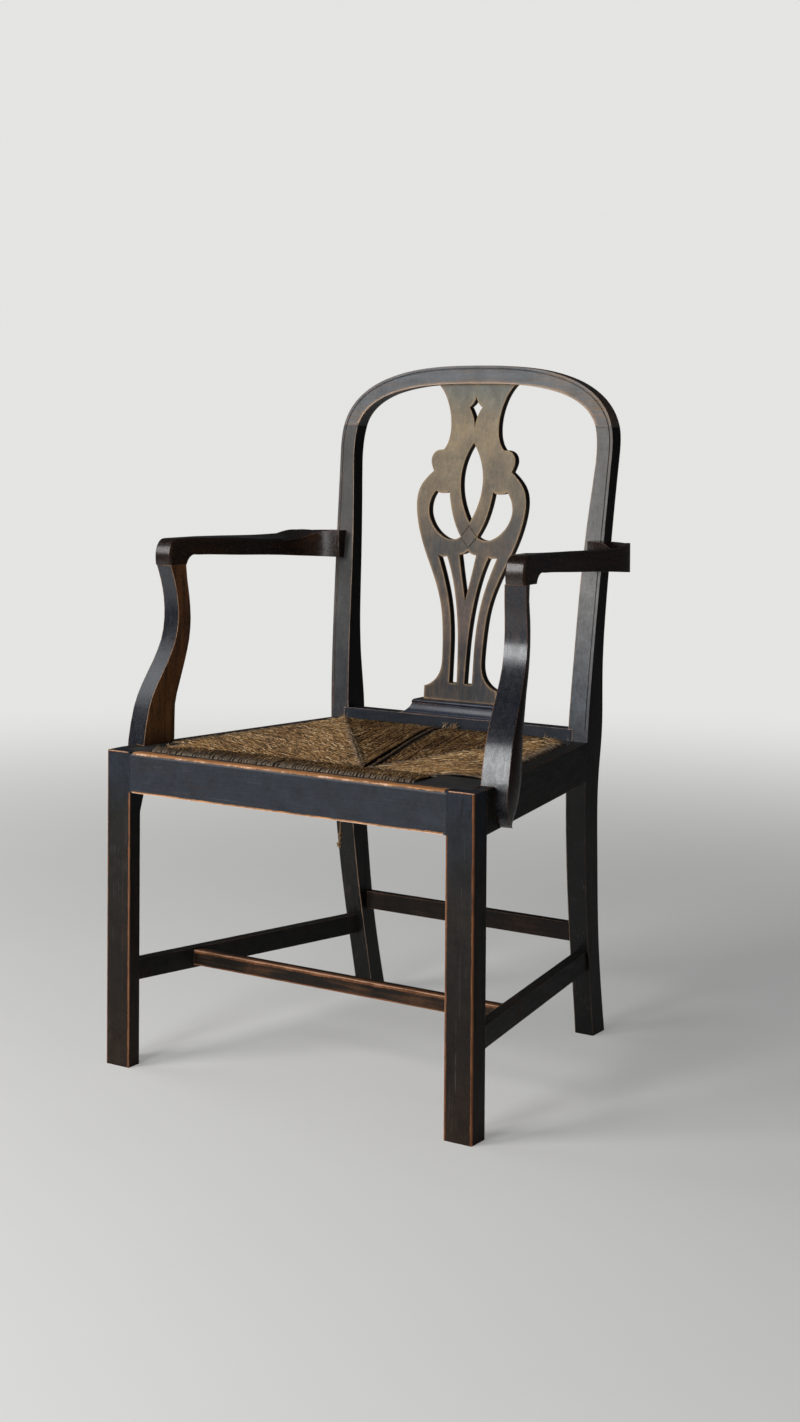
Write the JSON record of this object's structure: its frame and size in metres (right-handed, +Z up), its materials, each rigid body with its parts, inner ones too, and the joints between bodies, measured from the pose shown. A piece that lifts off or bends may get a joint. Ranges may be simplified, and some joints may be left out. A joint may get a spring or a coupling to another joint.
{
  "type": "open armchair",
  "caption": "Wooden open armchair with an arched crest rail, a pierced splat, shaped arms and a drop-in rush seat on plain square legs joined by stretchers.",
  "frame": {"origin": "on the floor, at the centre of the chair's outer box", "axes": "+Z up, the front of the chair faces -Y, +X to the right of a viewer who faces the front"},
  "size_m": [0.6146, 0.521, 0.9635],
  "materials": {
    "bare_wood": "plain unfinished",
    "dark_block": "stained, matt",
    "green_worn_wood": "faded grey-green paint over brown wood",
    "painted_wood": "old worn dark paint, satin",
    "polished_wood": "hand-polished dark stain",
    "rush": "twisted dry rush, matt",
    "steel": "dull old screw steel"
  },
  "bodies": {
    "chair_frame": {"arm_left": "polished_wood", "arm_right": "polished_wood", "arm_screws": "steel", "arm_support_left": "polished_wood", "arm_support_right": "polished_wood", "back_post_left": "painted_wood", "back_post_right": "painted_wood", "back_seat_rail": "painted_wood", "back_stretcher": "painted_wood", "corner_brace_left": "bare_wood", "corner_brace_right": "bare_wood", "crest_rail": "painted_wood", "cross_stretcher": "painted_wood", "foot_screws": "steel", "front_leg_left": "painted_wood", "front_leg_right": "painted_wood", "front_seat_rail": "painted_wood", "side_seat_rail_left": "painted_wood", "side_seat_rail_right": "painted_wood", "side_stretcher_left": "painted_wood", "side_stretcher_right": "painted_wood", "splat": "green_worn_wood", "splat_shoe": "painted_wood"},
    "drop_in_seat": {"loose_rush_end": "rush", "rush_back": "rush", "rush_front": "rush", "rush_left": "rush", "rush_right": "rush", "seat_block_back_left": "dark_block", "seat_block_back_right": "dark_block", "seat_block_front_left": "dark_block", "seat_block_front_right": "dark_block", "seat_frame_back": "bare_wood", "seat_frame_front": "bare_wood", "seat_frame_left": "bare_wood", "seat_frame_right": "bare_wood"}
  },
  "joints": [
    {"name": "seat_lift", "type": "slide", "parent": "chair_frame", "child": "drop_in_seat", "axis": [0, 0, 1], "range_m": [0, 0.6]}
  ]
}
